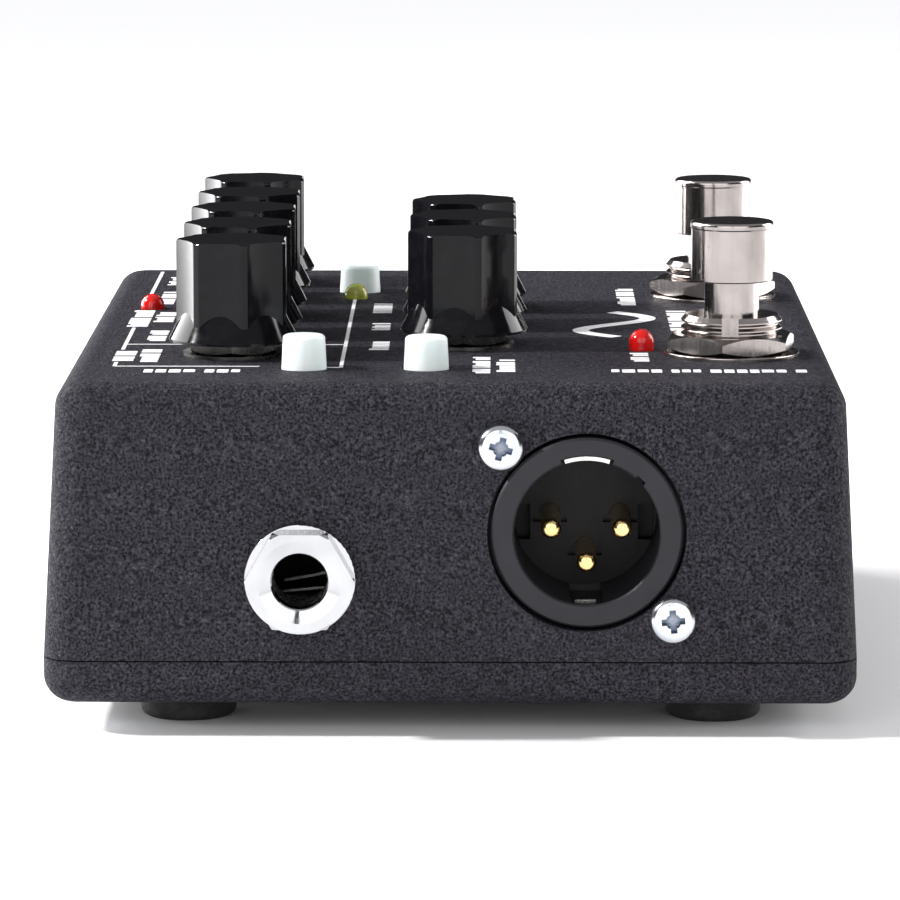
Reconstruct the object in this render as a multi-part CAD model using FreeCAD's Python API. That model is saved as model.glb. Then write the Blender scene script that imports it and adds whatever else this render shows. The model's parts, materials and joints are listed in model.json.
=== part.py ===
"""Direct injection box: cast case, eight rotary controls, two footswitches, three push buttons,
three lamps, a male XLR and three jacks. One STEP file per sub-part.

Frame: millimetres, +Z up, floor at z = 0, origin at the centre of the footprint.
-Y is the output face with the XLR, +Y is the far face, +X is the footswitch side.
"""

import FreeCAD, Part
import math
import os

V = FreeCAD.Vector
ORIGIN = V(0, 0, 0)
X_AXIS = V(1, 0, 0)
Y_AXIS = V(0, 1, 0)
Z_AXIS = V(0, 0, 1)

# Case
width = 94.0
length = 119.5
foot_height = 3.4
base_height = 5.3
top_z = 40.6
draft = 1.6  # each side leans in by this much from the seam to the top
wall = 2.4
corner_radius = 4.0
top_edge_radius = 3.0
base_edge_radius = 3.2
seam_gap = 0.16
edge_gap = 0.1  # between a hole and the fixed piece that sits in it
seam_z = foot_height + base_height
ceiling_z = top_z - wall
floor_z = foot_height + wall
pad_y = 55.4  # upright inner faces that the connectors sit against
pad_margin = 0.3
pad_root = 0.75  # share of the wall that a pad reaches into

# Lip of the base plate, inside the housing
lip_thickness = 1.2
lip_height = 1.6
lip_clearance = 0.2

# Base screws and their bosses
screw_x, screw_y = 40.6, 53.3
boss_radius = 3.6
base_boss_radius = 4.2
base_screw_radius = 1.5
base_screw_head_radius = 3.2
base_screw_length = 14.0
screw_clearance = 0.1
base_screw_slot = (3.6, 0.8, 1.2)  # length, width and depth of its driver recess
pilot_spare = 2.0
boss_foot = 1.0

# Feet
foot_x, foot_y = 30.8, 46.0
foot_radius = 5.6
foot_edge_radius = 1.0

# Potentiometers and knobs
pot_pitch = 18.4
left_column = [(-26.0 - 0.1 * i, -31.2 + i * pot_pitch) for i in range(5)]
middle_column = [(1.4, -22.0 + i * pot_pitch) for i in range(3)]
pot_case_x, pot_case_y, pot_case_height = 9.6, 11.2, 7.2
pot_bushing_radius = 3.5
pot_bushing_rise = 2.9
pot_washer_radius = 6.05
pot_washer_thickness = 0.4
pot_nut_flats = 10.0
pot_nut_height = 1.8
nut_chamfer = 0.6  # share of a nut's corner that its cone turns down
shaft_radius = 3.0
shaft_flat = 1.6
shaft_rise = 11.6
rotor_radius, rotor_thickness, rotor_rise = 3.7, 1.5, 2.0
pot_floor, pot_lid = 1.0, 1.5
pot_bushing_chamfer = 0.3
running_gap = 0.05
knob_bottom = 1.8  # above the top face
knob_height = 12.05
knob_radius = 6.8
knob_skirt_radius = 7.68
knob_skirt_slope = 0.52
knob_flutes = 7
flute_depth = 0.75
flute_cutter_radius = 14.0
knob_recess_radius, knob_recess_depth = 6.1, 1.6
knob_edge_radius, knob_rim, knob_neck_radius = 0.35, 0.3, 4.6
knob_core_drop = 1.0
press_gap = 0.02  # a pressed-on piece and its shaft
shaft_tip_gap = 0.2
knob_rest_angle = 53.5  # pointer direction at the low end stop
near_left_rest_angle = 52.0

# Footswitches
footswitches = [(33.3, -30.4), (33.3, 26.4)]
footswitch_drops = [0.0, 0.6]  # the far one is latched, so its cap rests lower
footswitch_body = (17.2, 14.2, 14.0)
footswitch_well_gap = 0.35
plunger_depth, plunger_stop = 8.8, 1.0
footswitch_nut_angles = [-9.8, 30.0]
bushing_radius = 6.0
bushing_rise = 4.9
bushing_bore = 3.3
thread_pitch = 0.9
thread_depth = 0.45
thread_turns = 3
thread_flank, thread_root, thread_crest = 0.35, 0.5, 0.85  # shares of one pitch
thread_lead, thread_chamfer = 0.6, 0.5
keyway_width, keyway_depth, keyway_angle, keyway_bottom = 2.0, 0.8, -4.0, 2.0
footswitch_washer_radius, footswitch_washer_thickness = 8.1, 0.5
footswitch_washer_edge = 0.15
footswitch_nut_flats, footswitch_nut_height = 14.0, 2.1
stem_radius = 3.25
neck_radius = 2.4
cap_bottom, cap_top = 8.95, 16.05  # above the top face
cap_radius = 4.85
cap_chamfer, cap_lip, cap_edge_radius = 0.15, 0.1, 0.4
cap_lip_drops = (0.9, 0.75)  # of the lip's cone, below the top
neck_drop, cap_bore_drop = 2.0, 1.9
footswitch_travel = 2.5
lug_pitch, lug_row, lug_length = 4.8, 3.2, 4.5
lug_half_width, lug_half_thickness = 1.0, 0.25
lug_eye_radius, lug_eye_drop = 0.5, 3.2

# Push buttons: (x, y, rise above the top face)
buttons = [(-17.2, -43.4, 3.95), (-2.9, -43.3, 3.8), (-12.45, 32.2, 3.45)]
button_radius = 2.65
button_top_radius = 2.45
button_gap = 0.3
button_stem_radius = 1.15
button_edge_radius, button_skirt = 0.45, 1.4
stem_insert, stem_drop = 1.1, 0.1
switch_side, switch_height, switch_floor = 6.6, 3.6, 0.6

# Lamps: (x, y, rise of the dome above the top face)
red_lamps = [(22.7, -26.6, 2.5), (-38.4, 13.0, 1.9)]
green_lamps = [(-12.8, 24.3, 1.9)]
lamp_radius, lamp_flange_radius, lamp_flange_height = 1.5, 1.75, 1.0
lead_half_width, lead_offset, lead_tail, lead_hole_radius = 0.25, 1.0, 1.5, 0.5

# Circuit boards
board_thickness = 1.6
board_top = ceiling_z - pot_case_height
main_board_x, main_board_y = (-42.0, 24.2), 48.5
xlr_notch_x, xlr_notch_y = 1.6, -39.2  # the corner left free for the XLR
front_board = ((-27.0, -54.5), (-6.0, -25.5))
far_board = ((-32.0, 25.5), (32.0, 54.5))
xlr_board_half = 8.5
ribbon_width, ribbon_thickness = 12.0, 0.4
ribbons = [(-23.0, -26.6), (-28.0, 26.2)]  # low x and low y of each

# XLR, male, on the output face
xlr_x, xlr_z = 15.7, 23.64
xlr_screw_offset = 9.9
xlr_screw_turns = [14.0, -5.0]
xlr_hole_radius = 11.45
xlr_ring_radius = 11.0
xlr_bore_radius = 8.4
xlr_flange = 26.0
xlr_flange_thickness = 2.5
xlr_flange_corner, xlr_flange_gap = 3.0, 0.2
xlr_front = -3.65  # ring face, measured from the pad, negative is outwards
xlr_floor = 10.4
xlr_back = 13.9
xlr_body_radius = 12.0
xlr_pin_radius = 1.18
xlr_pin_set_back, xlr_pin_nose = 1.9, 0.9
xlr_tail_radius, xlr_tail_length, xlr_tail_gap = 0.6, 2.6, 0.05
xlr_pins_at = [(-4.1, -0.1), (4.1, -0.1), (0.0, 3.85)]
xlr_ring_chamfer, xlr_mouth_chamfer = 0.25, 0.2
xlr_barrel_front = 1.0
xlr_spring_half_angle, xlr_spring_thickness = 17.3, 0.45
xlr_spring_depths = (0.25, 7.5)  # from the ring face, and the far end
xlr_slot_half_angle, xlr_slot_depth, xlr_slot_end, xlr_slot_overlap = 20.0, 0.6, 8.0, 0.2
xlr_key_half_width, xlr_key_depth, xlr_key_end, xlr_key_angle, xlr_key_overlap = 0.65, 0.45, 9.0, -45, 0.5
xlr_groove_half_width, xlr_groove_y, xlr_groove_set_back = 1.85, (7.0, 9.1), 1.2
xlr_tab_x, xlr_tab_top, xlr_tab_set_backs = (-1.3, 1.1), 9.08, (2.7, 3.0)
carrier_side_x, carrier_side_half_sizes = 7.2, (1.0, 0.8)
carrier_side_y, carrier_side_depth = (-1.2, 3.05), 2.4
carrier_mark_offset, carrier_mark_width, carrier_mark_y, carrier_mark_depth = 1.55, 0.9, (0.6, 1.1), 1.0
panel_screw_radius = 1.5
panel_screw_head_radius = 2.7
panel_screw_head_height = 1.7
panel_screw_edge_radius, panel_screw_seat_overlap = 0.9, 0.1
panel_screw_bite, panel_hole_bite = 0.15, 0.1  # by which shank and hole are under the screw's radius
panel_screw_tip, panel_hole_end = 2.0, 3.0  # behind the flange
panel_screw_slots = [(2.7, 0.75, 1.1), (1.5, 1.2, 0.9)]  # length, width and depth

# Quarter inch jacks: x of each, and the height of their shared axis
output_jack_x = -17.2
input_jack_x, thru_jack_x = -22.0, 2.0
jack_z = 18.33
jack_bore_radius = 3.205
jack_hole_radius = 4.8
jack_sleeve_radius = 4.7
jack_nut_flats = 11.0
jack_nut_corner_radius = 6.3
jack_nut_thickness = 2.0
jack_nut_edge = (0.35, 0.2)
jack_sleeve_end = -0.05
jack_dish_radius, jack_dish_depth, jack_dish_edge, jack_lip_depth = 4.8, 0.45, 0.15, 0.6
jack_seat_radius, jack_seat_depth = 3.6, 2.7
barrel_radius, barrel_set_back, barrel_end = 3.55, 2.75, 1.0
jack_washer_radius = 6.4
jack_washer_front = -4.65
jack_washer_edge = 0.12
jack_case = (15.8, 13.0, 28.0)
jack_case_edge, jack_throat_depth, jack_case_back = 0.8, 1.6, 2.0
jack_chamber_x, jack_chamber_y = 4.3, (-3.8, 5.0)
leg_tail, leg_gap, contact_thickness = 2.5, 0.1, 0.5
sleeve_leg_x, sleeve_leg_y, sleeve_leg_depths = 0.6, 3.4, (0.2, 0.9)
spring_leg_x, spring_leg_y = (3.7, 4.1), 2.4
blade_x, blade_y = (-3.2, 3.6), (3.15, 3.45)
contact_springs = [(8.0, -5.5), (17.1, -10.5)]  # depth and twist of the ring and tip springs

# DC power jack
dc_jack_x, dc_jack_z = 26.0, 18.33
dc_hole_radius, dc_nose_radius = 4.5, 4.3
dc_bore_radius, dc_pin_radius = 3.15, 1.05
dc_case = (9.0, 11.0, 13.0)
dc_nose_front, dc_pin_front, dc_bore_end, dc_pin_edge = -3.6, -2.4, 8.5, 0.4
dc_pad_half = (5.5, 6.0)

# Battery
battery_size = (48.5, 26.5, 17.5)
snap_thickness, snap_half_height, snap_inset = 3.2, 6.3, 0.8
battery_edge_radius = 2.0
post_y, post_radius, post_length = 6.4, 2.8, 2.0
post_gaps = (0.05, 0.1)  # round the post, and past its end
battery_lead_radius, battery_lead_y = 0.6, 4.0

# How far cutting tools run past the faces that they cut
over = 1.0
level_tolerance = 1e-4
hole_reach = (-8.0, 2.0)


# ---- helpers ----

def block(low, high):
    """Box between two corners."""
    size = [b - a for a, b in zip(low, high)]
    return Part.makeBox(size[0], size[1], size[2], V(*low))


def rod(radius, low, high, x=0.0, y=0.0):
    """Upright cylinder between two heights."""
    return Part.makeCylinder(radius, high - low, V(x, y, low), Z_AXIS)


def tube(outer, inner, low, high, x=0.0, y=0.0):
    return rod(outer, low, high, x, y).cut(rod(inner, low, high, x, y))


def turned(profile, x=0.0, y=0.0):
    """Solid of revolution about an upright axis, from (radius, height) points."""
    points = [V(r, 0, z) for r, z in profile]
    face = Part.Face(Part.makePolygon(points + points[:1]))
    solid = face.revolve(ORIGIN, Z_AXIS, 360)
    solid.translate(V(x, y, 0))
    return solid


def hexagon(flats, low, high, angle=0.0):
    """Upright hexagonal prism with a corner at `angle` degrees from -Y."""
    corner = flats / math.sqrt(3)
    points = []
    for i in range(6):
        turn = math.radians(angle - 90 + 60 * i)
        points.append(V(corner * math.cos(turn), corner * math.sin(turn), low))
    face = Part.Face(Part.makePolygon(points + points[:1]))
    return face.extrude(V(0, 0, high - low))


def chamfered_nut(flats, bore, low, high, angle):
    """Hexagon nut with its corners turned down by a cone at both ends."""
    corner = flats / math.sqrt(3)
    drop = (corner - flats / 2) * nut_chamfer
    blank = turned([(0, low), (corner - 2 * drop, low), (corner, low + drop),
                    (corner, high - drop), (flats / 2, high), (0, high)])
    return hexagon(flats, low, high, angle).common(blank).cut(rod(bore, low, high))


def moved(shape, x, y, z=0.0):
    copy = shape.copy()
    copy.translate(V(x, y, z))
    return copy


def spun(shape, degrees):
    """Copy turned about the upright axis through the origin."""
    copy = shape.copy()
    copy.rotate(ORIGIN, Z_AXIS, degrees)
    return copy


def round_edges(shape, radius, wanted):
    return shape.makeFillet(radius, [edge for edge in shape.Edges if wanted(edge.BoundBox)])


def upright(box):
    return box.ZLength > over


def at_height(z):
    return lambda box: max(abs(box.ZMin - z), abs(box.ZMax - z)) < level_tolerance


def rim_at_height(z, bore_radius):
    """The outer edge of a ring's face, wider than its bore."""
    return lambda box: at_height(z)(box) and box.XLength > 2 * bore_radius + over


def fuse(shapes):
    whole = shapes[0]
    for shape in shapes[1:]:
        whole = whole.fuse(shape)
    return whole.removeSplitter()


def cut_all(shape, cutters):
    for cutter in cutters:
        shape = shape.cut(cutter)
    return shape


def on_output_face(shape, x, z):
    """Place a connector drawn with its depth along +Z and `down` along +Y, its z = 0 on the
    inner pad, on the -Y face."""
    copy = shape.copy()
    copy.rotate(ORIGIN, X_AXIS, -90)
    copy.translate(V(x, -pad_y, z))
    return copy


def on_far_face(shape, x, z):
    """The same on the +Y face: half a turn about the upright axis."""
    return spun(on_output_face(shape, -x, z), 180)


def save(name, shapes):
    """Write one node: a single solid, or a group of separate ones."""
    shape = shapes[0] if len(shapes) == 1 else Part.makeCompound(shapes)
    shape.exportStep(f"parts/{name}.step")


# ---- case ----

def half_sizes(z):
    """Half width and half length of the outside at a height."""
    lean = draft * max(0.0, z - seam_z) / (top_z - seam_z)
    return width / 2 - lean, length / 2 - lean


def drafted_block(low, high, inset):
    """Flat-sided block that leans in like the housing, set in from its outside."""
    rings = []
    for z in (low, high):
        hx, hy = [half - inset for half in half_sizes(z)]
        rings.append([V(-hx, -hy, z), V(hx, -hy, z), V(hx, hy, z), V(-hx, hy, z)])
    bottom, top = rings
    loops = [bottom[::-1], top]
    for i in range(4):
        j = (i + 1) % 4
        loops.append([bottom[i], bottom[j], top[j], top[i]])
    faces = [Part.Face(Part.makePolygon(loop + loop[:1])) for loop in loops]
    return Part.Solid(Part.Shell(faces))


def housing_envelope():
    shape = drafted_block(seam_z + seam_gap / 2, top_z, 0.0)
    shape = round_edges(shape, corner_radius, upright)
    return round_edges(shape, top_edge_radius, at_height(top_z))


def housing_cavity():
    shape = drafted_block(seam_z, ceiling_z, wall)
    return round_edges(shape, corner_radius - wall, upright)


def connector_pad(x, z, half_x, half_z, side):
    """Upright inner face behind a connector; side is -1 for the output face, 1 for the far."""
    inner, outer = side * pad_y, side * (length / 2 - pad_root * wall)
    return block((x - half_x, min(inner, outer), z - half_z), (x + half_x, max(inner, outer), z + half_z))


def corner_points(x, y):
    return [(sx * x, sy * y) for sx in (-1, 1) for sy in (-1, 1)]


def top_holes():
    deep, high = ceiling_z - over, top_z + over
    knobs = left_column + middle_column
    pots = [rod(pot_bushing_radius + edge_gap, deep, high, x, y) for x, y in knobs]
    switches = [rod(bushing_radius + edge_gap, deep, high, x, y) for x, y in footswitches]
    caps = [rod(button_radius + button_gap, deep, high, x, y) for x, y, _ in buttons]
    lamps = [rod(lamp_radius + edge_gap, deep, high, x, y) for x, y, _ in red_lamps + green_lamps]
    return pots + switches + caps + lamps


def wall_holes():
    jack_hole = rod(jack_hole_radius, *hole_reach)
    holes = [on_output_face(jack_hole, output_jack_x, jack_z)]
    holes += [on_far_face(jack_hole, x, jack_z) for x in (input_jack_x, thru_jack_x)]
    holes.append(on_far_face(rod(dc_hole_radius, *hole_reach), dc_jack_x, dc_jack_z))
    holes.append(on_output_face(rod(xlr_hole_radius, *hole_reach), xlr_x, xlr_z))
    for x, y in xlr_screw_points():
        hole = rod(panel_screw_radius + screw_clearance, *hole_reach, x, y)
        holes.append(on_output_face(hole, xlr_x, xlr_z))
    return holes


def upper_housing():
    shell = housing_envelope().cut(housing_cavity())
    flange_half = xlr_flange / 2 + xlr_flange_gap
    jack_half = [jack_case[0] / 2 + pad_margin, jack_case[1] / 2 + pad_margin]
    pads = [connector_pad(xlr_x, xlr_z, flange_half, flange_half, -1),
            connector_pad(output_jack_x, jack_z, *jack_half, -1),
            connector_pad(input_jack_x, jack_z, *jack_half, 1),
            connector_pad(thru_jack_x, jack_z, *jack_half, 1),
            connector_pad(dc_jack_x, dc_jack_z, *dc_pad_half, 1)]
    bosses = [rod(boss_radius, seam_z, ceiling_z + wall / 2, x, y)
              for x, y in corner_points(screw_x, screw_y)]
    shell = fuse([shell] + pads + bosses)
    pilot_top = foot_height + base_screw_length + pilot_spare
    pilots = [rod(base_screw_radius + running_gap, seam_z, pilot_top, x, y)
              for x, y in corner_points(screw_x, screw_y)]
    return cut_all(shell, top_holes() + wall_holes() + pilots)


def rounded_plate(half_x, half_y, low, high, radius):
    return round_edges(block((-half_x, -half_y, low), (half_x, half_y, high)), radius, upright)


def base_plate():
    rim_z = seam_z - seam_gap / 2
    plate = rounded_plate(width / 2, length / 2, foot_height, rim_z, corner_radius)
    plate = round_edges(plate, base_edge_radius, at_height(foot_height))
    inset = wall + lip_clearance
    outer_x, outer_y = width / 2 - inset, length / 2 - inset
    inner_x, inner_y = outer_x - lip_thickness, outer_y - lip_thickness
    lip = rounded_plate(outer_x, outer_y, floor_z, seam_z + lip_height, corner_radius - inset)
    hollow = block((-inner_x, -inner_y, floor_z), (inner_x, inner_y, seam_z + lip_height))
    plate = fuse([plate, lip]).cut(hollow)
    for x, y in corner_points(screw_x, screw_y):
        plate = plate.cut(rod(boss_radius + 2 * lip_clearance, floor_z, seam_z + lip_height, x, y))
        plate = fuse([plate, rod(base_boss_radius, foot_height + boss_foot, seam_z, x, y)])
    return cut_all(plate, [screw_sink(x, y) for x, y in corner_points(screw_x, screw_y)])


def screw_sink(x, y):
    """Clearance hole and countersink of one base screw."""
    head, shank = base_screw_head_radius + screw_clearance, base_screw_radius + screw_clearance
    low, high = foot_height - over, seam_z + over
    return turned([(0, low), (head, low), (head, foot_height), (shank, foot_height + head - shank),
                   (shank, high), (0, high)], x, y)


def cross_recess(size, low):
    """Cross-shaped driver recess, from its length, width and depth."""
    half, thin = size[0] / 2, size[1] / 2
    across = block((-half, -thin, low), (half, thin, low + size[2]))
    return fuse([across, spun(across, 90)])


def base_screw():
    head, shank, low = base_screw_head_radius, base_screw_radius, foot_height
    body = turned([(0, low), (head, low), (shank, low + head - shank),
                   (shank, low + base_screw_length - shank), (0, low + base_screw_length)])
    return body.cut(cross_recess(base_screw_slot, low))


def rubber_foot():
    return round_edges(rod(foot_radius, 0, foot_height), foot_edge_radius, at_height(0))


# ---- potentiometers and knobs ----

def pot_case():
    low = board_top
    case = block((-pot_case_x / 2, -pot_case_y / 2, low), (pot_case_x / 2, pot_case_y / 2, ceiling_z))
    chamber = rod(rotor_radius + button_gap, low + pot_floor, ceiling_z - pot_lid)
    return cut_all(case, [chamber, rod(shaft_radius + running_gap, low + pot_floor, ceiling_z)])


def pot_bushing():
    top = top_z + pot_bushing_rise
    bore, radius = shaft_radius + running_gap, pot_bushing_radius
    return turned([(bore, ceiling_z), (radius, ceiling_z), (radius, top - pot_bushing_chamfer),
                   (radius - pot_bushing_chamfer, top), (bore, top)])


def pot_washer():
    return tube(pot_washer_radius, pot_bushing_radius + running_gap, top_z, top_z + pot_washer_thickness)


def pot_nut():
    low = top_z + pot_washer_thickness
    bore = pot_bushing_radius + running_gap
    return chamfered_nut(pot_nut_flats, bore, low, low + pot_nut_height, 0.0)


def shaft_flat_cutter(radius, low, high):
    """What a D-shaped shaft lacks of a round one, with its flat towards +X."""
    return block((shaft_flat, -radius, low), (radius, radius, high))


def pot_shaft():
    rotor_low = board_top + rotor_rise
    tip = top_z + shaft_rise
    rotor = rod(rotor_radius, rotor_low, rotor_low + rotor_thickness)
    shaft = fuse([rod(shaft_radius, rotor_low, tip), rotor])
    return shaft.cut(shaft_flat_cutter(shaft_radius, top_z + knob_bottom + knob_recess_depth, tip))


def knob():
    """Fluted knob with a conical skirt, hollow below, with a D-shaped bore. Flute 0 is at +X."""
    low, high = top_z + knob_bottom, top_z + knob_bottom + knob_height
    body = round_edges(rod(knob_radius, low, high), knob_edge_radius, at_height(high))
    centre = knob_radius - flute_depth + flute_cutter_radius
    flute = rod(flute_cutter_radius, low, high, centre, 0)
    body = cut_all(body, [spun(flute, i * 360 / knob_flutes) for i in range(knob_flutes)])
    rim, neck = low + knob_rim, knob_neck_radius
    skirt = turned([(0, low), (knob_skirt_radius, low), (knob_skirt_radius, rim),
                    (neck, rim + (knob_skirt_radius - neck) / knob_skirt_slope), (0, high - knob_core_drop)])
    recess_top = low + knob_recess_depth
    bore_radius, bore_top = shaft_radius + press_gap, top_z + shaft_rise + shaft_tip_gap
    bore = rod(bore_radius, recess_top, bore_top).cut(
        block((shaft_flat + press_gap, -bore_radius, recess_top), (bore_radius, bore_radius, bore_top)))
    return cut_all(fuse([body, skirt]), [rod(knob_recess_radius, low, recess_top), bore])


# ---- footswitches ----

def footswitch_case():
    size_x, size_y, height = footswitch_body
    case = block((-size_x / 2, -size_y / 2, ceiling_z - height), (size_x / 2, size_y / 2, ceiling_z))
    well_floor = top_z - plunger_depth - footswitch_travel - plunger_stop
    return case.cut(rod(stem_radius + footswitch_well_gap, well_floor, ceiling_z))


def footswitch_bushing():
    """Threaded bushing: a few thread crests show above the nut, then a chamfer."""
    top = top_z + bushing_rise
    thread_low = top - thread_lead - thread_turns * thread_pitch
    profile = [(bushing_bore, ceiling_z), (bushing_radius, ceiling_z)]
    for i in range(thread_turns):
        low = thread_low + i * thread_pitch
        profile.append((bushing_radius, low))
        profile.append((bushing_radius - thread_depth, low + thread_flank * thread_pitch))
        profile.append((bushing_radius - thread_depth, low + thread_root * thread_pitch))
        profile.append((bushing_radius, low + thread_crest * thread_pitch))
    profile += [(bushing_radius, top - thread_lead), (bushing_radius - thread_chamfer, top),
                (bushing_bore, top)]
    keyway = block((-keyway_width / 2, -bushing_radius - over, top_z + keyway_bottom),
                   (keyway_width / 2, keyway_depth - bushing_radius, top + over))
    return turned(profile).cut(spun(keyway, keyway_angle))


def footswitch_washer():
    low, high = top_z, top_z + footswitch_washer_thickness
    ring = tube(footswitch_washer_radius, bushing_radius + running_gap, low, high)
    return round_edges(ring, footswitch_washer_edge, rim_at_height(high, bushing_radius))


def footswitch_nut(angle):
    low = top_z + footswitch_washer_thickness
    bore = bushing_radius + running_gap
    return chamfered_nut(footswitch_nut_flats, bore, low, low + footswitch_nut_height, angle)


def footswitch_plunger():
    shoulder = top_z + cap_bottom
    neck_top = top_z + cap_top - neck_drop
    return fuse([rod(stem_radius, top_z - plunger_depth, shoulder), rod(neck_radius, shoulder, neck_top)])


def footswitch_cap():
    low, high = top_z + cap_bottom, top_z + cap_top
    lip = cap_radius + cap_lip
    outside = turned([(0, low), (cap_radius - cap_chamfer, low), (cap_radius, low + cap_chamfer),
                      (cap_radius, high - cap_lip_drops[0]), (lip, high - cap_lip_drops[1]), (lip, high),
                      (0, high)])
    outside = round_edges(outside, cap_edge_radius, at_height(high))
    return outside.cut(rod(neck_radius + press_gap, low, high - cap_bore_drop))


def footswitch_lugs():
    """Two rows of three solder lugs under one footswitch."""
    top = ceiling_z - footswitch_body[2]
    lugs = []
    half_x, half_y = lug_half_width, lug_half_thickness
    for y in (-lug_row, lug_row):
        for x in (-lug_pitch, 0, lug_pitch):
            lug = block((x - half_x, y - half_y, top - lug_length), (x + half_x, y + half_y, top))
            eye = Part.makeCylinder(lug_eye_radius, over, V(x, y - over / 2, top - lug_eye_drop), Y_AXIS)
            lugs.append(lug.cut(eye))
    return lugs


# ---- push buttons and lamps ----

def button_cap(rise):
    low, high = ceiling_z - button_skirt, top_z + rise
    cap = turned([(0, low), (button_radius, low), (button_radius, top_z),
                  (button_top_radius, high), (0, high)])
    cap = round_edges(cap, button_edge_radius, at_height(high))
    return cap.cut(rod(button_stem_radius + press_gap, low, top_z))


def button_stem():
    return rod(button_stem_radius, board_top + switch_height - stem_insert, top_z - stem_drop)


def switch_case():
    half, top = switch_side / 2, board_top + switch_height
    case = block((-half, -half, board_top), (half, half, top))
    return case.cut(rod(button_stem_radius + button_gap, board_top + switch_floor, top))


def lamp(x, y, rise):
    """Round-nosed 3 mm lamp with its flange under the ceiling."""
    flange = rod(lamp_flange_radius, ceiling_z - lamp_flange_height, ceiling_z, x, y)
    neck_top = top_z + rise - lamp_radius
    neck = rod(lamp_radius, ceiling_z, neck_top, x, y)
    dome = Part.makeSphere(lamp_radius, V(x, y, neck_top))
    return fuse([flange, neck, dome])


def lamp_leads(x, y):
    half, low = lead_half_width, board_top - board_thickness - lead_tail
    high = ceiling_z - lamp_flange_height
    return [block((x - half, y + side - half, low), (x + half, y + side + half, high))
            for side in (-lead_offset, lead_offset)]


# ---- circuit boards ----

def main_board():
    low = board_top - board_thickness
    board = block((main_board_x[0], -main_board_y, low), (main_board_x[1], main_board_y, board_top))
    notch_end = (main_board_x[1] + over, xlr_notch_y, board_top)
    board = board.cut(block((xlr_notch_x, -main_board_y - over, low), notch_end))
    lead_holes = []
    for x, y, _ in red_lamps + green_lamps:
        lead_holes += [rod(lead_hole_radius, low, board_top, x, y + side)
                       for side in (-lead_offset, lead_offset)]
    return cut_all(board, lead_holes)


def jack_boards():
    """Board under the output jack, board under the far jacks, board behind the XLR."""
    top = jack_z - jack_case[1] / 2
    low = top - board_thickness
    front, far = [block((*corners[0], low), (*corners[1], top)) for corners in (front_board, far_board)]
    half, behind = xlr_board_half, board_thickness + xlr_back
    upright_board = on_output_face(block((-half, -half, xlr_back), (half, half, behind)), xlr_x, xlr_z)
    tail_hole = rod(xlr_tail_radius + xlr_tail_gap, xlr_back, behind)
    tails = [on_output_face(moved(tail_hole, x, y), xlr_x, xlr_z) for x, y in xlr_pins_at]
    legs = [block(low_corner, high_corner) for low_corner, high_corner in contact_legs(leg_gap)]
    leg_slots = [slot for leg in legs for slot in on_each_jack(leg)]
    return [cut_all(front, leg_slots), cut_all(far, leg_slots), cut_all(upright_board, tails)]


def ribbon_cables():
    top = board_top - board_thickness
    low = jack_z - jack_case[1] / 2
    return [block((x, y, low), (x + ribbon_width, y + ribbon_thickness, top)) for x, y in ribbons]


# ---- XLR, drawn with its depth along +Z and `down` along +Y ----

def xlr_screw_points():
    return [(-xlr_screw_offset, -xlr_screw_offset), (xlr_screw_offset, xlr_screw_offset)]


def sector(outer, inner, low, high, half_angle, towards):
    """Part of a tube, `half_angle` either side of the direction `towards`, in degrees."""
    pieces = []
    for radius in (outer, inner):
        wedge = Part.makeCylinder(radius, high - low, V(0, 0, low), Z_AXIS, 2 * half_angle)
        pieces.append(spun(wedge, towards - half_angle))
    return pieces[0].cut(pieces[1])


def xlr_shell():
    half = xlr_flange / 2
    flange = block((-half, -half, 0), (half, half, xlr_flange_thickness))
    flange = round_edges(flange, xlr_flange_corner, upright)
    ring, edge = xlr_ring_radius, xlr_ring_chamfer
    nose = turned([(0, xlr_front), (ring - edge, xlr_front), (ring, xlr_front + edge),
                   (ring, xlr_barrel_front), (0, xlr_barrel_front)])
    barrel = rod(xlr_body_radius, xlr_barrel_front, xlr_back)
    return cut_all(fuse([flange, nose, barrel]), [xlr_bore()] + xlr_grooves() + xlr_screw_holes())


def xlr_bore():
    start, mouth = xlr_front - over, xlr_bore_radius + xlr_mouth_chamfer
    return turned([(0, start), (mouth, start), (mouth, xlr_front),
                   (xlr_bore_radius, xlr_front + xlr_mouth_chamfer), (xlr_bore_radius, xlr_back),
                   (0, xlr_back)])


def xlr_grooves():
    """The spring's slot at twelve o'clock, a key groove, and the tab's groove at six o'clock."""
    start, bore = xlr_front - over, xlr_bore_radius
    slot = sector(bore + xlr_slot_depth, bore - xlr_slot_overlap, start, xlr_slot_end,
                  xlr_slot_half_angle, -90)
    key = block((bore - xlr_key_overlap, -xlr_key_half_width, start),
                (bore + xlr_key_depth, xlr_key_half_width, xlr_key_end))
    groove = block((-xlr_groove_half_width, xlr_groove_y[0], xlr_front + xlr_groove_set_back),
                   (xlr_groove_half_width, xlr_groove_y[1], xlr_floor))
    return [slot, spun(key, xlr_key_angle), groove]


def xlr_screw_holes():
    end = xlr_flange_thickness + panel_hole_end
    return [rod(panel_screw_radius - panel_hole_bite, -over, end, x, y) for x, y in xlr_screw_points()]


def xlr_pin_carrier():
    """Insulator at the bottom of the XLR, with its moulded recesses."""
    disc = rod(xlr_bore_radius - press_gap, xlr_floor, xlr_back)
    near, far = carrier_side_half_sizes
    sides = [block((x - near, carrier_side_y[0], xlr_floor),
                   (x + far, carrier_side_y[1], xlr_floor + carrier_side_depth))
             for x in (-carrier_side_x, carrier_side_x)]
    marks = [carrier_mark(x + offset, y) for x, y in xlr_pins_at
             for offset in (-carrier_mark_offset, carrier_mark_offset)]
    holes = [rod(xlr_pin_radius + press_gap, xlr_floor, xlr_back, x, y) for x, y in xlr_pins_at]
    return cut_all(disc, sides + marks + holes)


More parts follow.
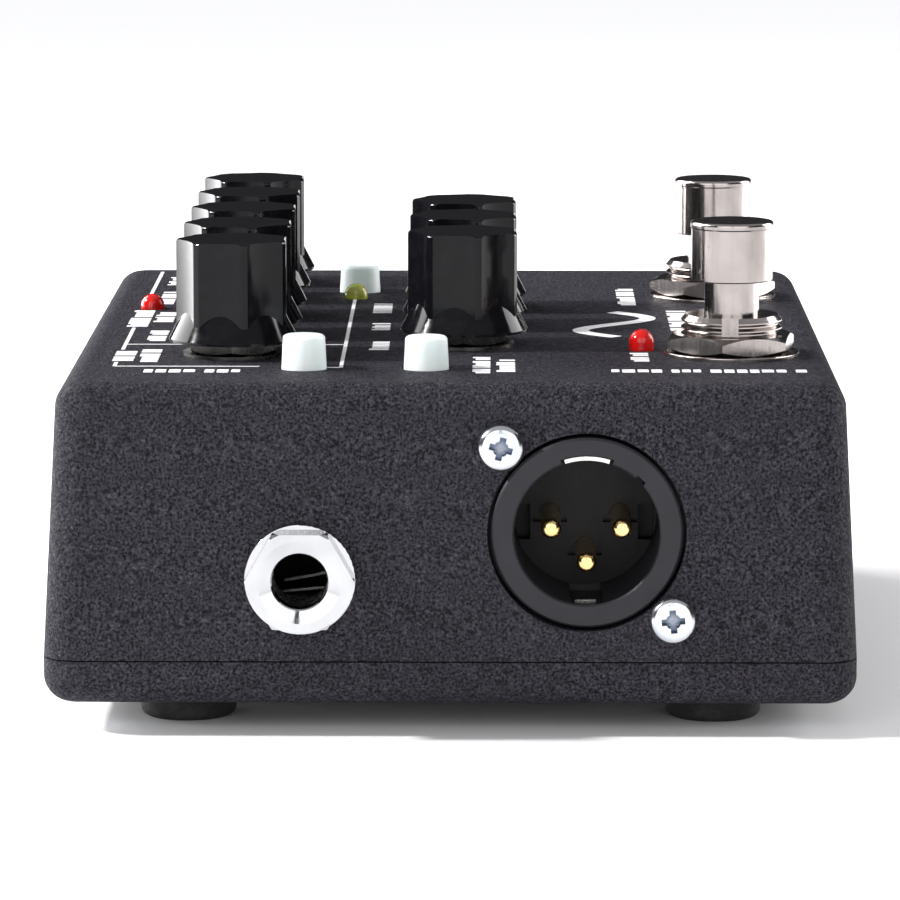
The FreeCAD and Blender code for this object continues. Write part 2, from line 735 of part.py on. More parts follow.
def carrier_mark(x, y):
    """Small moulded recess beside a pin."""
    half = carrier_mark_width / 2
    return block((x - half, y + carrier_mark_y[0], xlr_floor),
                 (x + half, y + carrier_mark_y[1], xlr_floor + carrier_mark_depth))


def xlr_pin(x, y):
    tip = xlr_front + xlr_pin_set_back
    pin = round_edges(rod(xlr_pin_radius, tip, xlr_back), xlr_pin_nose, at_height(tip))
    return moved(fuse([pin, rod(xlr_tail_radius, xlr_back, xlr_back + xlr_tail_length)]), x, y)


def xlr_ground_springs():
    """Curved spring at twelve o'clock, and a tab that stands in the groove at six o'clock."""
    outer, front = xlr_bore_radius + xlr_spring_thickness, xlr_front + xlr_spring_depths[0]
    curved = sector(outer, xlr_bore_radius, front, xlr_spring_depths[1], xlr_spring_half_angle, -90)
    tab = block((xlr_tab_x[0], xlr_bore_radius - xlr_slot_overlap, xlr_front + xlr_tab_set_backs[0]),
                (xlr_tab_x[1], xlr_tab_top, xlr_front + xlr_tab_set_backs[1]))
    return [curved, tab]


def xlr_screw(x, y, turn):
    """Pan-head screw. Its head sits on the drafted wall at its own height."""
    head_seat = pad_y - half_sizes(xlr_z - y - panel_screw_head_radius)[1]
    head_top = head_seat - panel_screw_head_height
    head = rod(panel_screw_head_radius, head_top, head_seat)
    head = round_edges(head, panel_screw_edge_radius, at_height(head_top))
    shank = rod(panel_screw_radius - panel_screw_bite, head_seat - panel_screw_seat_overlap,
                xlr_flange_thickness + panel_screw_tip)
    recesses = [cross_recess(size, head_top) for size in panel_screw_slots]
    return moved(spun(cut_all(fuse([head, shank]), recesses), turn), x, y)


# ---- jacks, drawn like the XLR ----

def jack_ferrule():
    """Chromed hexagon nut with a dished face and a sleeve through the wall."""
    back = jack_washer_front
    front = back - jack_nut_thickness
    corner, edge = jack_nut_corner_radius, jack_nut_edge
    blank = turned([(0, front), (corner - edge[0], front), (corner, front + edge[1]), (corner, back),
                    (0, back)])
    head = hexagon(jack_nut_flats, front, back, 90.0).common(blank)
    sleeve = rod(jack_sleeve_radius, back, jack_sleeve_end)
    return fuse([head, sleeve]).cut(jack_passage(front))


def jack_passage(front):
    """The dish, the bore, and the wider seat of the contact barrel behind it."""
    dish, bore, seat = jack_dish_radius, jack_bore_radius, jack_seat_radius
    seat_front = front + jack_seat_depth
    return turned([(0, front - over), (dish, front - over), (dish, front),
                   (bore + jack_dish_edge, front + jack_dish_depth), (bore, front + jack_lip_depth),
                   (bore, seat_front), (seat, seat_front), (seat, over), (0, over)])


def jack_washer():
    """Flat washer whose back follows the drafted wall."""
    disc = tube(jack_washer_radius, jack_sleeve_radius + running_gap, jack_washer_front, 0)
    return round_edges(disc, jack_washer_edge, rim_at_height(jack_washer_front, jack_sleeve_radius))


def jack_case_solid():
    half_x, half_y, depth = jack_case[0] / 2, jack_case[1] / 2, jack_case[2]
    case = block((-half_x, -half_y, 0), (half_x, half_y, depth))
    case = round_edges(case, jack_case_edge, upright)
    throat = rod(jack_seat_radius, 0, jack_throat_depth)
    chamber = block((-jack_chamber_x, jack_chamber_y[0], jack_throat_depth),
                    (jack_chamber_x, jack_chamber_y[1], depth - jack_case_back))
    legs = [block(low, high) for low, high in contact_legs(leg_gap)]
    return cut_all(case, [throat, chamber] + legs)


def contact_legs(gap):
    """Corners of the solder legs of one jack's sleeve, ring and tip contacts, grown by `gap`."""
    tail, (low_x, high_x) = jack_case[1] / 2 + leg_tail, spring_leg_x
    legs = [((-sleeve_leg_x, sleeve_leg_y, sleeve_leg_depths[0]),
             (sleeve_leg_x, tail, sleeve_leg_depths[1]))]
    legs += [((low_x, spring_leg_y, depth), (high_x, tail, depth + contact_thickness))
             for depth, _ in contact_springs]
    return [([v - gap for v in low], [v + gap for v in high]) for low, high in legs]


def jack_contacts_set():
    """Sleeve barrel, ring spring and tip spring of one jack, each with its solder leg."""
    mouth = jack_washer_front - jack_nut_thickness
    barrel = tube(barrel_radius, jack_bore_radius, mouth + barrel_set_back, barrel_end)
    sleeve_leg, *spring_legs = [block(low, high) for low, high in contact_legs(0.0)]
    contacts = [fuse([barrel, sleeve_leg])]
    for (depth, turn), leg in zip(contact_springs, spring_legs):
        blade = block((blade_x[0], blade_y[0], depth), (blade_x[1], blade_y[1], depth + contact_thickness))
        contacts.append(fuse([spun(blade, turn), leg]))
    return contacts


# ---- DC jack and battery ----

def dc_jack_case():
    half_x, half_y, depth = dc_case[0] / 2, dc_case[1] / 2, dc_case[2]
    body = block((-half_x, -half_y, 0), (half_x, half_y, depth))
    nose = rod(dc_nose_radius, dc_nose_front, 0)
    return fuse([body, nose]).cut(rod(dc_bore_radius, dc_nose_front, dc_bore_end))


def dc_jack_pin():
    pin = rod(dc_pin_radius, dc_pin_front, dc_bore_end)
    return round_edges(pin, dc_pin_edge, at_height(dc_pin_front))


def battery():
    size_x, size_y, height = battery_size
    cell = block((-size_x / 2, -size_y / 2, floor_z), (size_x / 2, size_y / 2, floor_z + height))
    cell = round_edges(cell, battery_edge_radius, lambda box: box.XLength > size_y)
    return fuse([cell] + battery_posts(post_radius, post_length))


def battery_posts(radius, long):
    size_x, _, height = battery_size
    middle = floor_z + height / 2
    return [Part.makeCylinder(radius, long, V(-size_x / 2, y, middle), -X_AXIS) for y in (-post_y, post_y)]


def battery_snap():
    size_x, size_y, height = battery_size
    middle = floor_z + height / 2
    half_y = size_y / 2 - snap_inset
    snap = block((-size_x / 2 - snap_thickness, -half_y, middle - snap_half_height),
                 (-size_x / 2, half_y, middle + snap_half_height))
    return cut_all(snap, battery_posts(post_radius + post_gaps[0], post_length + post_gaps[1]))


def battery_leads():
    low, high = floor_z + battery_size[2] / 2 + snap_half_height, board_top - board_thickness
    x = -battery_size[0] / 2 - snap_thickness / 2
    return [rod(battery_lead_radius, low, high, x, y) for y in (-battery_lead_y, battery_lead_y)]


# ---- everything in its place ----

def save_case():
    save("upper_housing", [upper_housing()])
    save("base_plate", [base_plate()])
    save("base_screws", [moved(base_screw(), x, y) for x, y in corner_points(screw_x, screw_y)])
    save("rubber_feet", [moved(rubber_foot(), x, y) for x, y in corner_points(foot_x, foot_y)])


def save_pots():
    places = left_column + middle_column
    for name, shape in (("pot_cases", pot_case()), ("pot_bushings", pot_bushing()),
                        ("pot_washers", pot_washer()), ("pot_nuts", pot_nut())):
        save(name, [moved(shape, x, y) for x, y in places])
    one_knob, one_shaft = knob(), pot_shaft()
    for column, points in (("left", left_column), ("middle", middle_column)):
        for i, (x, y) in enumerate(points):
            near_left = column == "left" and i == 0
            angle = near_left_rest_angle if near_left else knob_rest_angle
            save(f"{column}_knob_{i + 1}", [moved(spun(one_knob, angle), x, y)])
            save(f"{column}_pot_shaft_{i + 1}", [moved(spun(one_shaft, angle), x, y)])


def save_footswitches():
    for name, shape in (("footswitch_bodies", footswitch_case()),
                        ("footswitch_bushings", footswitch_bushing()),
                        ("footswitch_washers", footswitch_washer())):
        save(name, [moved(shape, x, y) for x, y in footswitches])
    save("footswitch_nuts", [moved(footswitch_nut(angle), x, y)
                             for (x, y), angle in zip(footswitches, footswitch_nut_angles)])
    save("footswitch_lugs", [moved(lug, x, y) for x, y in footswitches for lug in footswitch_lugs()])
    for side, (x, y), drop in zip(("near", "far"), footswitches, footswitch_drops):
        save(f"{side}_footswitch_cap", [moved(footswitch_cap(), x, y, -drop)])
        save(f"{side}_footswitch_plunger", [moved(footswitch_plunger(), x, y, -drop)])


def save_buttons_and_lamps():
    for i, (x, y, rise) in enumerate(buttons):
        save(f"button_cap_{i + 1}", [moved(button_cap(rise), x, y)])
        save(f"button_stem_{i + 1}", [moved(button_stem(), x, y)])
    save("switch_cases", [moved(switch_case(), x, y) for x, y, _ in buttons])
    save("red_lamps", [lamp(*place) for place in red_lamps])
    save("green_lamp", [lamp(*place) for place in green_lamps])
    save("lamp_leads", [lead for x, y, _ in red_lamps + green_lamps for lead in lamp_leads(x, y)])


def save_connectors():
    shell = xlr_shell()
    save("xlr_shell", [on_output_face(shell, xlr_x, xlr_z)])
    save("xlr_pin_carrier", [on_output_face(xlr_pin_carrier(), xlr_x, xlr_z)])
    save("xlr_pins", [on_output_face(xlr_pin(x, y), xlr_x, xlr_z) for x, y in xlr_pins_at])
    save("xlr_ground_springs", [on_output_face(spring, xlr_x, xlr_z) for spring in xlr_ground_springs()])
    save("xlr_screws", [on_output_face(xlr_screw(x, y, turn), xlr_x, xlr_z)
                        for (x, y), turn in zip(xlr_screw_points(), xlr_screw_turns)])
    save("jack_ferrules", on_each_jack(jack_ferrule()))
    save("jack_washers", [disc.cut(housing_envelope()) for disc in on_each_jack(jack_washer())])
    save("jack_cases", on_each_jack(jack_case_solid()))
    save("jack_contacts", [solid for contact in jack_contacts_set() for solid in on_each_jack(contact)])
    save("dc_jack_case", [on_far_face(dc_jack_case(), dc_jack_x, dc_jack_z)])
    save("dc_jack_pin", [on_far_face(dc_jack_pin(), dc_jack_x, dc_jack_z)])


def on_each_jack(shape):
    return [on_output_face(shape, output_jack_x, jack_z),
            on_far_face(shape, input_jack_x, jack_z),
            on_far_face(shape, thru_jack_x, jack_z)]


def save_boards_and_battery():
    save("main_board", [main_board()])
    save("jack_boards", jack_boards())
    save("ribbon_cables", ribbon_cables())
    save("battery", [battery()])
    save("battery_snap", [battery_snap()])
    save("battery_leads", battery_leads())


os.makedirs("parts", exist_ok=True)
save_case()
save_pots()
save_footswitches()
save_buttons_and_lamps()
save_connectors()
save_boards_and_battery()
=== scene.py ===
"""Looks of the direct injection box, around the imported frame. Metres, +Z up, -Y towards the viewer."""
import json
import math
import random

import bmesh
import bpy
from mathutils import Matrix, Vector


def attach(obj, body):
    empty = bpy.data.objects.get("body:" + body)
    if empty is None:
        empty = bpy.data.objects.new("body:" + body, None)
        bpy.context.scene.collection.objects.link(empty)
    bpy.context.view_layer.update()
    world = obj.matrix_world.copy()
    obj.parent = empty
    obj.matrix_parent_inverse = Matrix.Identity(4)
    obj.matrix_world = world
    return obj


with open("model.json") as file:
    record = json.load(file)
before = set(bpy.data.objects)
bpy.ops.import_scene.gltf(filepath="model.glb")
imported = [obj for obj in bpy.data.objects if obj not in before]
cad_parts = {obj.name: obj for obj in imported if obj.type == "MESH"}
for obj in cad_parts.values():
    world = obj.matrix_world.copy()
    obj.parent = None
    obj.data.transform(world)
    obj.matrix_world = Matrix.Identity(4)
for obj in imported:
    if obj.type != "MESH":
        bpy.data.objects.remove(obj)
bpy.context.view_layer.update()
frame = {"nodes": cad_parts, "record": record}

MM = 0.001
nodes = frame["nodes"]

# painted shade: metal hollows this near to a wall are painted darker, as in the screws' recesses
PAINTED_SHADE_REACH = 1.6 * MM

# printed marks, in mm unless scaled
PANEL_Z = 40.6 * MM
INK_THICKNESS = 0.02 * MM
BLOCK_LEAST = 0.75
BLOCK_GAP = 0.32
BLOCK_INSET = 0.35
BLOCK_CORNER = 0.18
WORD_GAP = 1.1
WORD_LENGTH = (3, 6)
BORDER_WIDTH = 0.45
BORDER_LEFT, BORDER_RIGHT = -39.5, -12.9
BORDER_FRONT, BORDER_MIDDLE, BORDER_BACK = -42.2, -22.3, 53.0
WAVE_WIDTH = 2.0
WAVE_STEPS = 48
WAVE_X, WAVE_SWING = 20.0, 4.3
WAVE_START, WAVE_LENGTH = -14.5, 24.5

# studio and camera
FLOOR_HALF = 12.0
KEY_ANGLE = 5.0
OVERHEAD_ANGLE = 100.0
WORLD_STRENGTH = 0.03
LENS_MM = 218.46
SENSOR_MM = 36.0
CLIP_START = 0.01
CAMERA_YAW, CAMERA_PITCH, CAMERA_ROLL = -0.0077, 0.1487, 0.0008
CAMERA_MM = (4.7526, -676.606, 125.776)


# ---- shader helpers ----

class Shader:
    """One node material, with short calls for the nodes that this scene uses."""

    def __init__(self, name):
        self.material = bpy.data.materials.new(name)
        self.material.use_nodes = True
        self.tree = self.material.node_tree
        self.surface = self.tree.nodes["Principled BSDF"]
        self.place = self.tree.nodes.new("ShaderNodeTexCoord").outputs["Object"]

    def set(self, **values):
        names = {"base": "Base Color", "rough": "Roughness", "metal": "Metallic", "ior": "IOR",
                 "through": "Transmission Weight", "specular": "Specular IOR Level",
                 "subsurface": "Subsurface Weight", "subsurface_scale": "Subsurface Scale",
                 "subsurface_radius": "Subsurface Radius", "normal": "Normal"}
        for key, value in values.items():
            socket = self.surface.inputs[names[key]]
            if isinstance(value, bpy.types.NodeSocket):
                self.tree.links.new(value, socket)
            elif key == "base":
                socket.default_value = (*value, 1.0)
            else:
                socket.default_value = value
        return self

    def add(self, kind, settings=None, **inputs):
        node = self.tree.nodes.new(kind)
        for key, value in (settings or {}).items():
            setattr(node, key, value)
        for key, value in inputs.items():
            socket = node.inputs[int(key[1:])] if key[0] == "i" and key[1:].isdigit() else node.inputs[key]
            if isinstance(value, bpy.types.NodeSocket):
                self.tree.links.new(value, socket)
            else:
                socket.default_value = value
        return node

    def stretched(self, scale):
        """Object coordinates stretched along the axes."""
        return self.add("ShaderNodeMapping", Vector=self.place, Scale=scale).outputs["Vector"]

    def noise(self, scale, detail=2.0, rough=0.5, vector=None):
        node = self.add("ShaderNodeTexNoise", Vector=vector or self.place, Scale=scale, Detail=detail,
                        Roughness=rough)
        return node.outputs["Fac"]

    def cells(self, scale):
        node = self.add("ShaderNodeTexVoronoi", {"feature": "F1"}, Vector=self.place, Scale=scale)
        return node.outputs["Distance"]

    def spread(self, value, low, high, to_low, to_high):
        """Value from low..high moved to to_low..to_high, and held at the ends."""
        node = self.add("ShaderNodeMapRange", {"clamp": True}, i0=value, i1=low, i2=high, i3=to_low,
                        i4=to_high)
        return node.outputs[0]

    def math(self, operation, a, b):
        return self.add("ShaderNodeMath", {"operation": operation}, i0=a, i1=b).outputs[0]

    def mix(self, factor, a, b):
        """Colour between a and b; each is a socket or three numbers."""
        node = self.add("ShaderNodeMix", {"data_type": "RGBA"}, i0=factor)
        for socket, value in ((node.inputs[6], a), (node.inputs[7], b)):
            if isinstance(value, bpy.types.NodeSocket):
                self.tree.links.new(value, socket)
            else:
                socket.default_value = (*value, 1.0)
        return node.outputs[2]

    def bump(self, height, strength, distance):
        node = self.add("ShaderNodeBump", Height=height, Strength=strength, Distance=distance)
        return node.outputs["Normal"]


def powder_coat():
    """Pebbled powder paint, charcoal with a violet cast, with painted shade in the grain's hollows and painted
    highlights on its tops.
    """
    s = Shader("powder_coat")
    grain = s.noise(3000.0, 3.0, 0.65)
    coarse = s.noise(1150.0, 2.0, 0.5)
    cloud = s.noise(60.0, 2.0, 0.5)
    pits = s.spread(s.cells(1900.0), 0.0, 0.35, 1.0, 0.0)
    # colour follows the grain's height: partly the paint's own mottle, partly painted shade, darker in the
    # grain's hollows
    tone = s.mix(s.spread(grain, 0.38, 0.62, 0.0, 1.0), (0.0062, 0.0057, 0.0080), (0.0640, 0.0612, 0.0735))
    tone = s.mix(s.spread(coarse, 0.35, 0.70, 0.0, 0.40), tone, (0.0120, 0.0112, 0.0144))
    tone = s.mix(s.spread(cloud, 0.35, 0.65, 0.0, 0.16), tone, (0.0310, 0.0297, 0.0362))
    # painted highlight: light specks on the grain's highest tops, where the pebbles catch the light
    tone = s.mix(s.spread(grain, 0.64, 0.76, 0.0, 0.75), tone, (0.150, 0.146, 0.160))
    height = s.math("ADD", grain, s.math("MULTIPLY", pits, 0.30))
    height = s.math("ADD", height, s.math("MULTIPLY", coarse, 0.8))
    s.set(base=tone, rough=s.spread(coarse, 0.3, 0.7, 0.50, 0.66), specular=0.04,
          normal=s.bump(height, 1.0, 0.00032))
    return s.material


def glossy_plastic(name, base, smudge, rough):
    """Moulded gloss plastic with faint moulding waves and finger marks."""
    s = Shader(name)
    wave = s.noise(190.0, 1.0, 0.4)
    mark = s.noise(520.0, 4.0, 0.6)
    dust = s.noise(7000.0, 1.0, 0.5)
    tone = s.mix(s.spread(mark, 0.45, 0.75, 0.0, 1.0), base, smudge)
    s.set(base=tone, rough=s.spread(mark, 0.35, 0.75, rough, rough + 0.09), specular=0.20,
          normal=s.bump(s.math("ADD", wave, s.math("MULTIPLY", dust, 0.02)), 0.12, 0.0001))
    return s.material


def matte_plastic(name, base, lighter, rough, grain=1800.0, specular=0.4):
    """Moulded plastic with a fine spark-eroded grain."""
    s = Shader(name)
    spark = s.noise(grain, 3.0, 0.6)
    cloud = s.noise(120.0, 2.0, 0.5)
    tone = s.mix(s.spread(cloud, 0.35, 0.7, 0.0, 1.0), base, lighter)
    s.set(base=tone, rough=s.spread(spark, 0.3, 0.7, rough - 0.07, rough + 0.08), specular=specular,
          normal=s.bump(spark, 0.3, 0.00005))
    return s.material


def plated(name, bright, dull, rough, streaks=(1.0, 1.0, 0.06), streak_scale=2600.0, bump=0.08,
           recess_shade=None):
    """Plated or turned metal: hairlines along the streaks, slow stains, a few dull spots, and painted shade in
    hollows near a wall when a shade colour is given.
    """
    s = Shader(name)
    lines = s.noise(streak_scale, 2.0, 0.6, s.stretched(streaks))
    stain = s.noise(240.0, 3.0, 0.55)
    spots = s.noise(1700.0, 2.0, 0.5)
    tone = s.mix(s.spread(stain, 0.4, 0.75, 0.0, 1.0), bright, dull)
    if recess_shade:
        # painted shade: the colour darkens towards the given shade colour where ambient occlusion finds a
        # nearby wall
        shade_probe = s.add("ShaderNodeAmbientOcclusion", {"only_local": True}, Distance=PAINTED_SHADE_REACH)
        painted_shade = shade_probe.outputs["AO"]
        tone = s.mix(s.spread(painted_shade, 0.45, 0.80, 1.0, 0.0), tone, recess_shade)
    worn = s.math("ADD", s.spread(lines, 0.3, 0.7, 0.0, 0.10), s.spread(spots, 0.6, 0.8, 0.0, 0.10))
    s.set(base=tone, metal=1.0, rough=s.math("ADD", worn, rough), normal=s.bump(lines, bump, 0.00004))
    return s.material


def lens(name, base, deep):
    """Tinted lamp resin, lit by what comes through it."""
    s = Shader(name)
    swirl = s.noise(900.0, 2.0, 0.5)
    s.set(base=s.mix(s.spread(swirl, 0.35, 0.7, 0.0, 1.0), base, deep),
          rough=s.spread(swirl, 0.3, 0.7, 0.12, 0.22), through=0.20, ior=1.5, subsurface=0.5,
          subsurface_scale=0.0015, normal=s.bump(swirl, 0.05, 0.0001))
    return s.material


def button_resin():
    """Milky translucent cap."""
    s = Shader("button_resin")
    cloud = s.noise(420.0, 3.0, 0.5)
    fine = s.noise(3200.0, 2.0, 0.5)
    s.set(base=s.mix(s.spread(cloud, 0.35, 0.7, 0.0, 1.0), (0.86, 0.975, 0.955), (0.91, 0.985, 0.975)),
          rough=s.spread(fine, 0.3, 0.7, 0.30, 0.42), subsurface=0.3, subsurface_scale=0.0012,
          subsurface_radius=(0.7, 1.0, 0.95), normal=s.bump(fine, 0.12, 0.00004))
    return s.material


def rubber():
    """Black rubber with a little dust."""
    s = Shader("foot_rubber")
    grain = s.noise(2600.0, 4.0, 0.65)
    dust = s.noise(300.0, 4.0, 0.7)
    s.set(base=s.mix(s.spread(dust, 0.5, 0.8, 0.0, 0.6), (0.010, 0.010, 0.011), (0.05, 0.048, 0.045)),
          rough=s.spread(grain, 0.3, 0.7, 0.7, 0.9), normal=s.bump(grain, 0.4, 0.00006))
    return s.material


def circuit_board():
    """Green board with faint tracks under the mask."""
    s = Shader("circuit_board")
    weave = s.cells(1400.0)
    tracks = s.noise(500.0, 1.0, 0.3, s.stretched((1.0, 0.15, 1.0)))
    s.set(base=s.mix(s.spread(tracks, 0.54, 0.56, 0.0, 1.0), (0.012, 0.09, 0.035), (0.03, 0.17, 0.06)),
          rough=s.spread(weave, 0.0, 0.5, 0.35, 0.5), normal=s.bump(tracks, 0.2, 0.00003))
    return s.material


def label_ink():
    """Screen-printed ink: slightly thin in places, and following the grain of the paint below."""
    s = Shader("label_ink")
    grain = s.noise(2300.0, 3.0, 0.6)
    thin = s.noise(900.0, 3.0, 0.6)
    s.set(base=s.mix(s.spread(thin, 0.58, 0.80, 0.0, 0.75), (0.83, 0.83, 0.84), (0.35, 0.35, 0.37)),
          rough=s.spread(grain, 0.3, 0.7, 0.5, 0.65), normal=s.bump(grain, 0.5, 0.00012))
    return s.material


paint = powder_coat()
by_slot = {
    "powder_coat": paint,
    "satin_black_metal": matte_plastic("satin_black_metal", (0.0135, 0.0125, 0.0165), (0.0180, 0.0168, 0.0215),
                                       0.48, 3400.0, 0.30),
    "knob_plastic": glossy_plastic("knob_gloss", (0.0040, 0.0039, 0.0052), (0.0068, 0.0066, 0.0080), 0.07),
    "black_plastic": matte_plastic("black_plastic", (0.0070, 0.0066, 0.0082), (0.012, 0.011, 0.014),
                                   0.42, 1800.0, 0.18),
    "button_plastic": button_resin(),
    "red_lens": lens("red_lens", (0.74, 0.008, 0.007), (0.50, 0.003, 0.003)),
    "green_lens": lens("green_lens", (0.50, 0.56, 0.09), (0.33, 0.37, 0.10)),
    "nickel": plated("nickel", (0.43, 0.39, 0.375), (0.34, 0.305, 0.29), 0.12),
    "chrome": plated("chrome", (0.53, 0.535, 0.55), (0.48, 0.485, 0.50), 0.05, bump=0.02),
    # painted shade colour for the screws' cross recesses
    "zinc_screw": plated("zinc_screw", (0.64, 0.66, 0.69), (0.52, 0.55, 0.60), 0.16,
                         recess_shade=(0.10, 0.12, 0.17)),
    "dark_nickel": plated("dark_nickel", (0.13, 0.125, 0.12), (0.09, 0.085, 0.08), 0.20,
                          (1.0, 1.0, 1.0), 700.0, 0.02),
    "aluminium_shaft": plated("aluminium_shaft", (0.72, 0.72, 0.73), (0.6, 0.6, 0.61), 0.25),
    "gold_contact": plated("gold_contact", (0.93, 0.70, 0.32), (0.80, 0.56, 0.22), 0.14, (1.0, 0.06, 1.0)),
    "spring_contact": plated("spring_contact", (0.82, 0.80, 0.77), (0.66, 0.64, 0.61), 0.2,
                             (0.06, 1.0, 1.0)),
    "solder_tail": plated("solder_tail", (0.75, 0.74, 0.72), (0.5, 0.49, 0.47), 0.3),
    "circuit_board": circuit_board(),
    "ribbon_grey": matte_plastic("ribbon_grey", (0.34, 0.34, 0.35), (0.42, 0.42, 0.43), 0.5),
    "battery_can": glossy_plastic("battery_can", (0.05, 0.055, 0.065), (0.09, 0.095, 0.11), 0.25),
    "foot_rubber": rubber(),
}
ink = label_ink()


# ---- CAD nodes: materials ----

slot_of = {part["node"]: part["material_slot"] for part in frame["record"]["subparts"]}

for name, obj in nodes.items():
    obj.data.materials.clear()
    obj.data.materials.append(by_slot[slot_of[name]])


# ---- printed marks on the top face ----

def printed(name, outlines, height):
    """Thin raised ink from closed outlines in the XY plane, as one mesh."""
    bm = bmesh.new()
    for outline in outlines:
        low = [bm.verts.new((x * MM, y * MM, height)) for x, y in outline]
        face = bm.faces.new(low)
        if face.normal.z < 0:
            face.normal_flip()
        grown = bmesh.ops.extrude_face_region(bm, geom=[face])
        raised = [v for v in grown["geom"] if isinstance(v, bmesh.types.BMVert)]
        bmesh.ops.translate(bm, verts=raised, vec=(0, 0, INK_THICKNESS))
    bmesh.ops.recalc_face_normals(bm, faces=bm.faces)
    mesh = bpy.data.meshes.new(name)
    bm.to_mesh(mesh)
    bm.free()
    mesh.materials.append(ink)
    obj = bpy.data.objects.new(name, mesh)
    bpy.context.scene.collection.objects.link(obj)
    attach(obj, "case")
    return obj


def rounded(x0, x1, y0, y1, r=0.25, steps=3):
    """Outline of a bar with rounded corners, in mm."""
    points = []
    corners = ((x1 - r, y0 + r, -90), (x1 - r, y1 - r, 0), (x0 + r, y1 - r, 90), (x0 + r, y0 + r, 180))
    for cx, cy, start in corners:
        for i in range(steps + 1):
            a = math.radians(start + 90 * i / steps)
            points.append((cx + r * math.cos(a), cy + r * math.sin(a)))
    return points


def words_along_y(x0, x1, y0, y1, seed):
    """A label's words, each a row of small plain blocks with no letter shapes."""
    rng = random.Random(seed)
    outlines, y, left = [], y0, rng.randint(*WORD_LENGTH)
    while y < y1 - BLOCK_LEAST:
        long = min(rng.uniform(BLOCK_LEAST, 2 * BLOCK_LEAST), y1 - y)
        inset = rng.choice((0.0, 0.0, BLOCK_INSET))
        outlines.append(rounded(x0 + inset, x1, y, y + long, BLOCK_CORNER))
        left -= 1
        y += long + (BLOCK_GAP if left else WORD_GAP)
        left = left or rng.randint(*WORD_LENGTH)
    return outlines


labels_along_y = {
    "a": (-40.5, -37.9, -5.4, 12.6), "b": (-38.0, -36.0, 17.5, 30.6), "c": (-38.0, -36.6, 38.0, 47.0),
    "d": (-37.5, -35.0, -0.8, 10.0), "e": (-37.2, -34.9, -19.2, -7.8), "f": (-37.1, -34.7, -38.4, -26.8),
    "g": (-40.1, -37.6, -37.5, -28.3), "m1": (-10.3, -7.9, 8.6, 19.2), "m2": (-10.1, -7.8, -8.4, -1.0),
    "m3": (-10.0, -7.6, -27.2, -19.0), "r1": (2.5, 4.6, -47.9, -33.6), "r2": (5.3, 7.5, -46.6, -35.0),
    "s1": (20.9, 23.2, 17.2, 35.7), "s2": (26.8, 29.3, -13.0, 11.4), "s3": (21.2, 23.4, -37.3, -29.5),
}
for seed, (key, span) in enumerate(labels_along_y.items()):
    printed(f"print_{key}", words_along_y(*span, seed), PANEL_Z)


def words_along_x(x0, x1, y0, y1, seed):
    """The same blocks, laid across the case."""
    turned = words_along_y(y0, y1, x0, x1, seed)
    return [[(x, y) for y, x in outline][::-1] for outline in turned]


printed("print_output_left", words_along_x(-35.8, -24.0, -47.6, -45.0, 21), PANEL_Z)
printed("print_output_right", words_along_x(18.7, 41.6, -47.0, -44.4, 22), PANEL_Z)


def line(points, width):
    """Outline of a line of constant width through points, in mm."""
    left, right = [], []
    for i, (x, y) in enumerate(points):
        before = Vector(points[max(i - 1, 0)])
        after = Vector(points[min(i + 1, len(points) - 1)])
        along = (after - before).normalized()
        side = Vector((-along.y, along.x)) * width / 2
        left.append((x + side.x, y + side.y))
        right.append((x - side.x, y - side.y))
    return left + right[::-1]


border_paths = [
    [(BORDER_LEFT, BORDER_FRONT), (BORDER_LEFT, -38.6)],
    [(BORDER_LEFT, -27.2), (BORDER_LEFT, -6.5)],
    [(BORDER_LEFT, 13.7), (BORDER_LEFT, BORDER_BACK)],
    [(BORDER_RIGHT, -43.0), (BORDER_RIGHT, 29.0)],
    [(BORDER_LEFT, BORDER_FRONT), (-22.5, BORDER_FRONT)],
    [(BORDER_LEFT, BORDER_MIDDLE), (BORDER_RIGHT, BORDER_MIDDLE)],
    [(-14.6, -43.0), (BORDER_RIGHT, -43.0)],
]
border = [line(path, BORDER_WIDTH) for path in border_paths]
printed("print_border", border, PANEL_Z)

wave = []
for i in range(WAVE_STEPS + 1):
    turn = i / WAVE_STEPS
    wave.append((WAVE_X - WAVE_SWING * math.sin(2 * math.pi * turn), WAVE_START + WAVE_LENGTH * turn))
printed("print_wave_mark", [line(wave, WAVE_WIDTH)], PANEL_Z)


# ---- studio ----

def floor():
    """Pale plain floor that the box stands on."""
    mesh = bpy.data.meshes.new("studio_floor")
    corners = [(x * FLOOR_HALF, y * FLOOR_HALF, 0) for x, y in ((-1, -1), (1, -1), (1, 1), (-1, 1))]
    mesh.from_pydata(corners, [], [(0, 1, 2, 3)])
    s = Shader("studio_floor")
    tone = s.noise(2.0, 2.0, 0.5)
    s.set(base=s.mix(tone, (0.945, 0.945, 0.948), (0.953, 0.953, 0.956)), rough=0.65)
    mesh.materials.append(s.material)
    obj = bpy.data.objects.new("studio_floor", mesh)
    bpy.context.scene.collection.objects.link(obj)


def soft_box(name, place, aim, size, power, colour=(1.0, 1.0, 1.0)):
    light = bpy.data.lights.new(name, "AREA")
    light.shape = "RECTANGLE"
    light.size, light.size_y = size
    light.energy = power
    light.color = colour
    obj = bpy.data.objects.new(name, light)
    place, aim = Vector(place), Vector(aim)
    facing = (aim - place).to_track_quat("-Z", "Y").to_matrix().to_4x4()
    obj.matrix_world = Matrix.Translation(place) @ facing
    obj.visible_camera = False
    bpy.context.scene.collection.objects.link(obj)


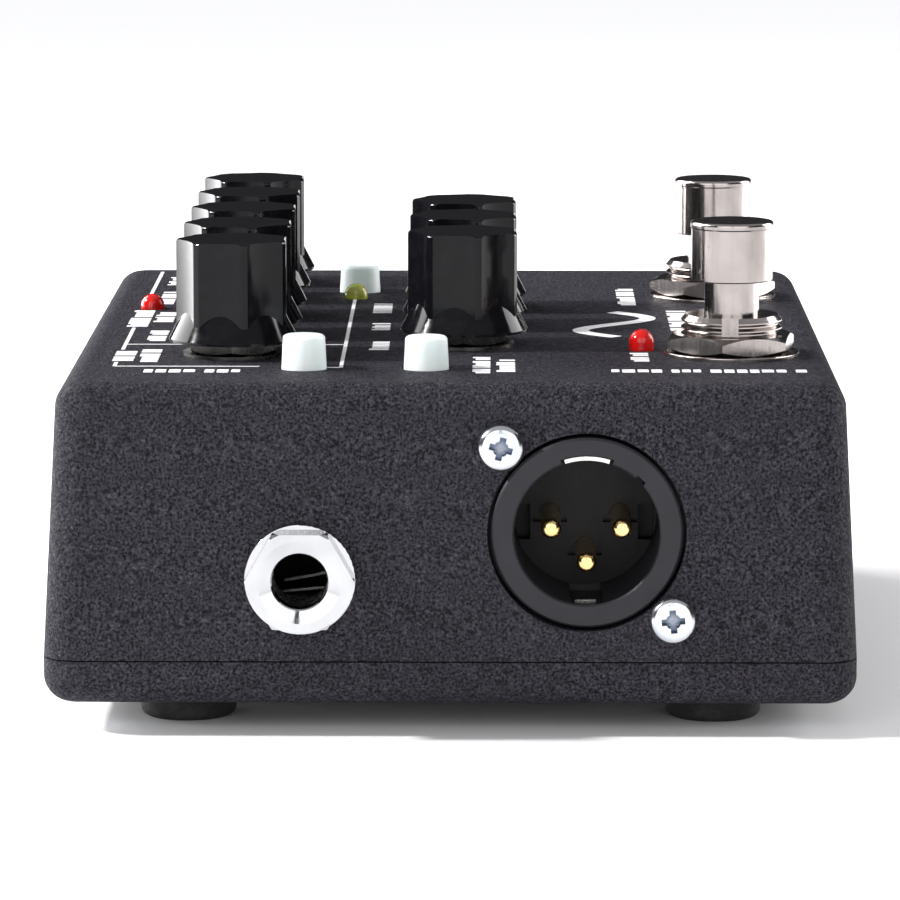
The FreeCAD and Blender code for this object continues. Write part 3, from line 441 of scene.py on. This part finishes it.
def sun(name, direction, strength, angle, colour=(1.0, 1.0, 1.0)):
    light = bpy.data.lights.new(name, "SUN")
    light.energy = strength
    light.color = colour
    light.angle = math.radians(angle)
    obj = bpy.data.objects.new(name, light)
    obj.matrix_world = Vector(direction).to_track_quat("-Z", "Y").to_matrix().to_4x4()
    bpy.context.scene.collection.objects.link(obj)


floor()
world = bpy.data.worlds.new("studio")
world.use_nodes = True
world.node_tree.nodes["Background"].inputs["Color"].default_value = (0.93, 0.93, 1.0, 1.0)
world.node_tree.nodes["Background"].inputs["Strength"].default_value = WORLD_STRENGTH
bpy.context.scene.world = world
sun("key", (1.0, 0.02, -0.75), 4.05, KEY_ANGLE)
sun("overhead", (0.0, 0.0, -1.0), 0.85, OVERHEAD_ANGLE, (0.96, 0.965, 1.0))
soft_box("left_box", (-0.42, 0.24, 0.20), (0, 0, 0.10), (0.45, 0.5), 7.0)
soft_box("right_box", (0.55, 0.30, 0.22), (0, 0, 0.10), (0.35, 0.5), 3.8)
soft_box("front_left", (-0.80, -1.7, 0.68), (-0.80, 0, 0.03), (1.45, 1.4), 14.0)
soft_box("front_right", (0.86, -1.7, 0.68), (0.86, 0, 0.03), (1.60, 1.4), 14.0)
bpy.context.scene.view_settings.view_transform = "Standard"

camera = bpy.data.cameras.new("camera")
camera.lens = LENS_MM
camera.sensor_width = SENSOR_MM
camera.clip_start = CLIP_START
camera_obj = bpy.data.objects.new("camera", camera)
yaw, pitch, roll = CAMERA_YAW, CAMERA_PITCH, CAMERA_ROLL
forward = Vector((math.sin(yaw) * math.cos(pitch), math.cos(yaw) * math.cos(pitch), -math.sin(pitch)))
right = Vector((math.cos(yaw), -math.sin(yaw), 0.0))
up = right.cross(forward)
side = math.cos(roll) * right + math.sin(roll) * up
rise = -math.sin(roll) * right + math.cos(roll) * up
camera_place = Matrix((side, rise, -forward)).transposed().to_4x4()
camera_place.translation = Vector(CAMERA_MM) * MM
camera_obj.matrix_world = camera_place
bpy.context.scene.collection.objects.link(camera_obj)
bpy.context.scene.camera = camera_obj

bpy.context.view_layer.update()
